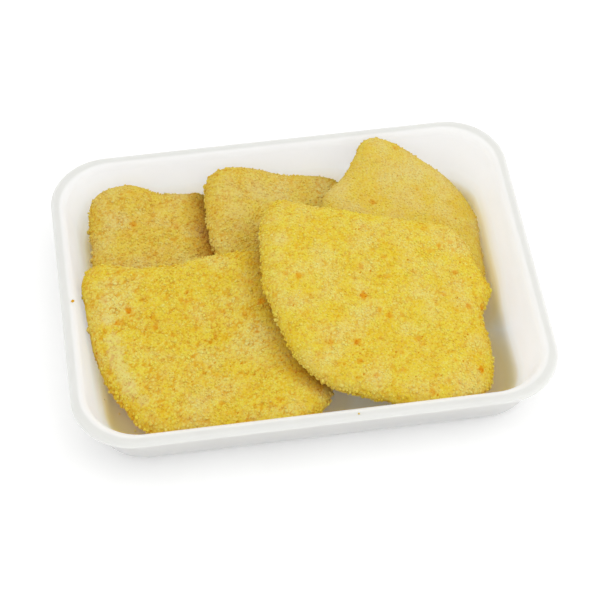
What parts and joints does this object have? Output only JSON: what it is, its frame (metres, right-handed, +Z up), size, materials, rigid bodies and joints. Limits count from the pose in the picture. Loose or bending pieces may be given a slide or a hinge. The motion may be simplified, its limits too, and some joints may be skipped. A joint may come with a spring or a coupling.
{
  "type": "tray of crumbed schnitzels",
  "caption": "Crumbed schnitzels lying over one another in a shallow white moulded foam tray with a turned-out rim.",
  "frame": {"origin": "centre of the tray's flat underside, on the surface that the tray stands on", "axes": "+X along the tray's length, to the right as seen from the front; +Y across it, towards the back; +Z up"},
  "size_m": [0.225, 0.175, 0.0411],
  "materials": {
    "white_foam": "smooth, faintly satin skin of pressed foam",
    "dusky_crumb_crust": "dry, matt crust of fine tan-gold breadcrumbs",
    "bright_crumb_crust": "dry, matt crust of fine yellow breadcrumbs with orange specks"
  },
  "bodies": {
    "root": {"foam_tray": "white_foam", "schnitzel_back_left": "dusky_crumb_crust", "schnitzel_back_middle": "dusky_crumb_crust", "schnitzel_back_right": "dusky_crumb_crust", "schnitzel_front_left": "bright_crumb_crust", "schnitzel_front_right": "bright_crumb_crust"}
  },
  "joints": []
}
